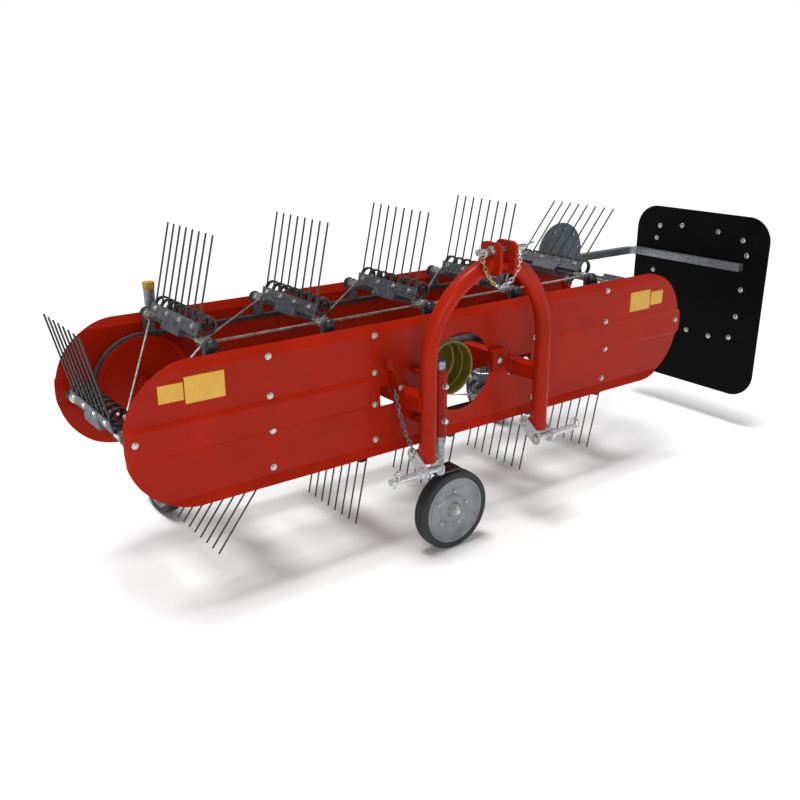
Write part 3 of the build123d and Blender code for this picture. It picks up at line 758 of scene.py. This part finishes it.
# Red brackets beside the legs: a hook plate on the left, a box bracket on the right
# Columns: x, z
hook_outline = (
    (-345, 352), (-336, 366), (-314, 362), (-292, 340), (-284, 300), (-280, 262), (-280, 232),
    (-304, 232), (-306, 290), (-320, 318), (-338, 330),
)
hook_front = 116
hook_thickness = 9
hook_rounding = 1.2
hook_foot_low = (-306, 124, 236)
hook_foot_high = (-284, front_face, 300)
hook_bolt = (-292, hook_front, 262)
box_front = 132
box_low = (125, box_front, 232)
box_high = (190, front_face + 0.5, 309)
box_bolt = (155, box_front, 269)
shape = bmesh.new()
face = shape.faces.new([shape.verts.new((x, hook_front, z)) for x, z in hook_outline])
grown = bmesh.ops.extrude_face_region(shape, geom=[face])
moved = [item for item in grown["geom"] if isinstance(item, bmesh.types.BMVert)]
bmesh.ops.translate(shape, vec=(0, hook_thickness, 0), verts=moved)
bmesh.ops.recalc_face_normals(shape, faces=shape.faces)
round_edges(shape, list(shape.edges), hook_rounding)
add_block(shape, hook_foot_low, hook_foot_high, edge=2)
add_block(shape, box_low, box_high, edge=4)
finish_piece(shape, "side_brackets", red_bracket_coat, "frame")
shape = bmesh.new()
add_bolt(shape, box_bolt, (0, -1, 0), washer=11, head=9, height=6)
add_bolt(shape, hook_bolt, (0, -1, 0), washer=10, head=8, height=5)
finish_piece(shape, "side_bracket_bolts", zinc_plated_steel, "frame")


# Caps on the posts
def add_cap(shape, x, y, foot, top, radius, tip, edge):
    """An upright cap with a wider or narrower top."""
    add_round(shape, (x, y, foot), (x, y, top), radius, edge, tip=tip)


shape = bmesh.new()
add_cap(shape, -rear_post_x, rear_post_y, foot=526, top=553, radius=20.2, tip=21.5, edge=2)
finish_piece(shape, "left_post_cap", cap_plastic, "frame")
shape = bmesh.new()
add_cap(shape, rear_post_x, rear_post_y, foot=441, top=457, radius=21.5, tip=20.5, edge=3)
add_cap(shape, front_post_x, front_post_y, foot=350, top=360, radius=21, tip=18, edge=3)
finish_piece(shape, "post_caps", black_nylon, "frame")

# Clamp bolts on the rear brackets and the front sleeve
clamp_half_width = 30
clamp_bolt_y = 845
clamp_bolt_rows = (119, 344)
sleeve_face = 24.8
sleeve_bolt_rows = (150, 270)
shape = bmesh.new()
for x in (-rear_post_x, rear_post_x):
    for z in clamp_bolt_rows:
        for side in (1, -1):
            seat = (x + side * clamp_half_width, clamp_bolt_y, z)
            add_bolt(shape, seat, (side, 0, 0), washer=11, head=9, height=7)
for z in sleeve_bolt_rows:
    seat = (front_post_x, sleeve_face, z)
    add_bolt(shape, seat, (0, -1, 0), washer=10, head=9, height=12)
finish_piece(shape, "post_bolts", zinc_plated_steel, "frame")

# Combs: bolts through the plates into the tine coils, and black bushings on the bar ends
# Columns: lean in degrees, shift along the belt
comb_table = (
    (14, 0), (12, 0), (12, 0), (12, 0), (40, 0), (125, 0),
    (192, 0), (192, 0), (192, 0), (192, 0), (218, 0), (347, 95),
)
comb_phase = 35
comb_pitch = (4 * pulley_x + 2 * math.pi * belt_radius) / len(comb_table)
tine_pairs = 4
tine_pitch = 46
first_tine_y = 296.5
plate_face = 19.5
plate_bolt_rise = 36
bar_front = 223
bar_back = 707
bushing_length = 20
bushing_radius = 23
bushing_tip = 17
# Columns: start and end along the bar, radius
bar_washers = ((21.3, 25, 20), (27, 30, 18))


def bar_place(distance):
    """Point (x, z) of a comb's bar at a distance along the belt."""
    straight = 2 * pulley_x
    arc = math.pi * belt_radius
    if distance < straight:
        return -pulley_x + distance, axis_height + bar_reach
    if distance < straight + arc:
        turn = (distance - straight) / belt_radius
        return pulley_x + bar_reach * math.sin(turn), axis_height + bar_reach * math.cos(turn)
    if distance < 2 * straight + arc:
        return pulley_x - (distance - straight - arc), axis_height - bar_reach
    turn = (distance - 2 * straight - arc) / belt_radius
    return -pulley_x - bar_reach * math.sin(turn), axis_height - bar_reach * math.cos(turn)


bolts = bmesh.new()
bushings = bmesh.new()
for index, (lean, shift) in enumerate(comb_table):
    bar_x, bar_z = bar_place(comb_phase + index * comb_pitch + shift)
    bar = Vector((bar_x, 0, bar_z))
    up = math.radians(lean)
    right = Vector((math.cos(up), 0, -math.sin(up)))
    out = Vector((math.sin(up), 0, math.cos(up)))
    for pair in range(tine_pairs):
        y = first_tine_y + tine_pitch / 2 + pair * 2 * tine_pitch
        seat = bar - right * plate_face + out * plate_bolt_rise + Vector((0, y, 0))
        add_bolt(bolts, seat, -right, washer=9, head=7, height=4)
    for bar_end, inward in ((bar_front, 1), (bar_back, -1)):
        seat = bar + Vector((0, bar_end, 0))
        along = Vector((0, inward, 0))
        outer = seat - bushing_length * along
        add_round(bushings, seat, outer, bushing_radius, edge=6, tip=bushing_tip)
        for start, end, radius in bar_washers:
            add_round(bolts, seat + start * along, seat + end * along, radius, edge=1)
finish_piece(bolts, "comb_bolts", zinc_plated_steel, "frame")
finish_piece(bushings, "bar_bushings", black_nylon, "frame")

# Index plate: nut of the fold and a row of bolts round the hub
fold_nut_front = 800.3
fold_nut_back = 804.5
fold_nut_radius = 15
index_face = 775
index_bolt_count = 8
index_bolt_circle = 112
# Turns in degrees, the first one from straight up
index_first_turn = -60
index_turn_step = 35
shape = bmesh.new()
add_round(
    shape,
    (index_x, fold_nut_front, index_z),
    (index_x, fold_nut_back, index_z),
    fold_nut_radius,
    edge=1.2,
    sides=6,
)
for step in range(index_bolt_count):
    turn = math.radians(index_first_turn + step * index_turn_step)
    x = index_x + index_bolt_circle * math.sin(turn)
    z = index_z + index_bolt_circle * math.cos(turn)
    add_coach_bolt(shape, (x, index_face, z), (0, -1, 0), radius=7, height=3)
finish_piece(shape, "index_bolts", zinc_plated_steel, "frame")

# Floor of matt paper, just under the tyres, in metres
floor_z = -0.3356
floor_half = 60
floor_material, floor_place = blank_material("matt_studio_paper")
paper = add_node(
    floor_material,
    "ShaderNodeTexNoise",
    None,
    {"Scale": 300.0, "Detail": 2.0},
    {"Vector": floor_place},
).outputs["Fac"]
paper_bump = add_node(
    floor_material,
    "ShaderNodeBump",
    None,
    {"Strength": 0.05, "Distance": 0.0005},
    {"Height": paper},
).outputs["Normal"]
paper_shader = add_node(
    floor_material,
    "ShaderNodeBsdfPrincipled",
    None,
    {"Base Color": linear("#f1f1f1"), "Roughness": 0.8, "Specular IOR Level": 0.2},
    {"Normal": paper_bump},
).outputs["BSDF"]
add_node(floor_material, "ShaderNodeOutputMaterial", None, None, {"Surface": paper_shader})
shape = bmesh.new()
bmesh.ops.create_grid(shape, x_segments=1, y_segments=1, size=floor_half)
bmesh.ops.translate(shape, vec=(0, 0, floor_z), verts=shape.verts)
floor_mesh = bpy.data.meshes.new("floor")
shape.to_mesh(floor_mesh)
shape.free()
floor_mesh.materials.append(floor_material)
floor = bpy.data.objects.new("floor", floor_mesh)
bpy.context.scene.collection.objects.link(floor)

# White behind the object, and a dimmer sky for the light that falls on it
world = bpy.data.worlds.new("studio")
world.use_nodes = True
bpy.context.scene.world = world
sky = world.node_tree.nodes["Background"]
sky.inputs["Color"].default_value = linear("#ffffff")
seen = add_node(world, "ShaderNodeLightPath").outputs["Is Camera Ray"]
strength = add_node(
    world, "ShaderNodeMapRange", None, {"To Min": 0.30, "To Max": 1.0}, {"Value": seen}
).outputs["Result"]
world.node_tree.links.new(strength, sky.inputs["Strength"])

# Lamps
# Columns: name, kind, place, target, size in metres or angle in degrees, power
lamps = (
    ("top", "SUN", (-0.7, 0.2, 5.0), (0, 0, 0), 22, 3.1),
    ("key", "AREA", (-2.2, -4.4, 1.9), (0, 0.3, 0.2), 2.4, 85),
    ("side", "AREA", (4.5, -1.5, 2.6), (0.4, 0.4, 0.2), 2.0, 20),
)
for name, kind, place, target, size, power in lamps:
    data = bpy.data.lights.new(name, kind)
    if kind == "SUN":
        data.angle = math.radians(size)
    else:
        data.shape = "DISK"
        data.size = size
    data.energy = power
    lamp = bpy.data.objects.new(name, data)
    lamp.location = place
    lamp.rotation_euler = (Vector(target) - Vector(place)).to_track_quat("-Z", "Y").to_euler()
    bpy.context.scene.collection.objects.link(lamp)

# Camera at the photograph's place, with its angles in degrees below level and from the y axis
camera_dip = 19.46
camera_turn = -36.54
camera_data = bpy.data.cameras.new("camera")
camera_data.lens = 40.15
camera_data.sensor_width = 36
camera = bpy.data.objects.new("camera", camera_data)
camera.location = (-1.930, -2.089, 1.190)
camera.rotation_euler = (math.radians(90 - camera_dip), 0, math.radians(camera_turn))
bpy.context.scene.collection.objects.link(camera)
bpy.context.scene.camera = camera
bpy.context.scene.view_settings.view_transform = "Standard"
